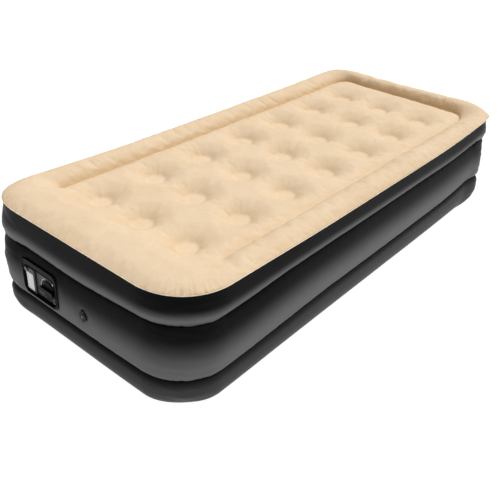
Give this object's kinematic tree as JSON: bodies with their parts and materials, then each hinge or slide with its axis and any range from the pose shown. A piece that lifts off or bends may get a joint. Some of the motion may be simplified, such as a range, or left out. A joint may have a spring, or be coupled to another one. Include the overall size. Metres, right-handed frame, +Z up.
{
  "type": "air bed",
  "caption": "Raised single air bed with a flocked top held down in round dimples, banded sides, a built-in electric pump behind a panel at one end, and a manual air valve.",
  "frame": {"origin": "on the floor under the middle of the bed", "axes": "+X along the bed towards the end without the pump, +Y across it, +Z up; the pump is at the -X end and the +Y side"},
  "size_m": [2, 0.9, 0.476],
  "materials": {
    "black_vinyl": "satin grained vinyl",
    "beige_flock": "short flocking on vinyl",
    "inner_vinyl": "bare vinyl sheet",
    "panel_plastic": "fine grain moulding",
    "knob_plastic": "fine grain moulding",
    "inner_plastic": "moulded",
    "cap_vinyl": "soft vinyl",
    "soft_rubber": "soft",
    "label_paper": "blank film",
    "steel": "zinc plated",
    "bronze": "sintered"
  },
  "bodies": {
    "bed": {"upper_band": "black_vinyl", "middle_band": "black_vinyl", "lower_band": "black_vinyl", "bottom_sheet": "black_vinyl", "top_sheet": "beige_flock", "coil_beam_1_1": "inner_vinyl", "coil_beam_1_2": "inner_vinyl", "coil_beam_1_3": "inner_vinyl", "coil_beam_2_1": "inner_vinyl", "coil_beam_2_2": "inner_vinyl", "coil_beam_2_3": "inner_vinyl", "coil_beam_3_1": "inner_vinyl", "coil_beam_3_2": "inner_vinyl", "coil_beam_3_3": "inner_vinyl", "coil_beam_4_1": "inner_vinyl", "coil_beam_4_2": "inner_vinyl", "coil_beam_4_3": "inner_vinyl", "coil_beam_5_1": "inner_vinyl", "coil_beam_5_2": "inner_vinyl", "coil_beam_5_3": "inner_vinyl", "coil_beam_6_1": "inner_vinyl", "coil_beam_6_2": "inner_vinyl", "coil_beam_6_3": "inner_vinyl", "coil_beam_7_1": "inner_vinyl", "coil_beam_7_2": "inner_vinyl", "coil_beam_7_3": "inner_vinyl", "middle_tie_1": "inner_vinyl", "middle_tie_2": "inner_vinyl", "lower_tie_1": "inner_vinyl", "lower_tie_2": "inner_vinyl", "upper_deck": "inner_vinyl", "lower_deck": "inner_vinyl", "pump_mount_ring": "panel_plastic", "pump_bezel": "panel_plastic", "face_plate": "panel_plastic", "cord_tray": "panel_plastic", "valve_seat": "panel_plastic", "pump_housing": "inner_plastic", "volute_cover": "inner_plastic", "volute_base": "inner_plastic", "outlet_valve_seat": "inner_plastic", "valve_flap": "soft_rubber", "cord_gland": "soft_rubber", "face_screw_lower": "steel", "face_screw_upper": "steel", "door_hinge_pin": "steel", "motor_can": "steel", "outlet_valve_spring": "steel", "motor_bearing_front": "bronze", "motor_bearing_rear": "bronze"},
    "selector": {"selector_knob": "knob_plastic", "selector_shaft": "inner_plastic", "flow_drum": "inner_plastic"},
    "cord_lid": {"cord_door": "panel_plastic", "door_label": "label_paper"},
    "rotor": {"motor_shaft": "steel", "armature": "steel", "impeller": "inner_plastic"},
    "outlet_disc": {"outlet_valve_disc": "inner_plastic"},
    "valve_lid": {"valve_cap": "cap_vinyl"}
  },
  "joints": [
    {"name": "selector_turn", "type": "hinge", "parent": "bed", "child": "selector", "pos_m": [-0.986, 0.16, 0.203], "axis": [-1, 0, 0], "range_deg": [-45, 45]},
    {"name": "cord_lid_swing", "type": "hinge", "parent": "bed", "child": "cord_lid", "pos_m": [-0.9895, 0.2265, 0.2035], "axis": [0, 0, 1], "range_deg": [0, 100]},
    {"name": "rotor_spin", "type": "hinge", "parent": "bed", "child": "rotor", "pos_m": [-0.9, 0.16, 0.203], "axis": [1, 0, 0], "continuous": true},
    {"name": "outlet_disc_lift", "type": "slide", "parent": "bed", "child": "outlet_disc", "axis": [0, 0, 1], "range_m": [0, 0.005], "stiffness_N_per_m": 60, "springref_m": -0.002, "deforming": ["outlet_valve_spring"]},
    {"name": "valve_lid_swing", "type": "hinge", "parent": "bed", "child": "valve_lid", "pos_m": [-0.9952, -0.021, 0.222], "axis": [0, 1, 0], "range_deg": [0, 135]}
  ]
}
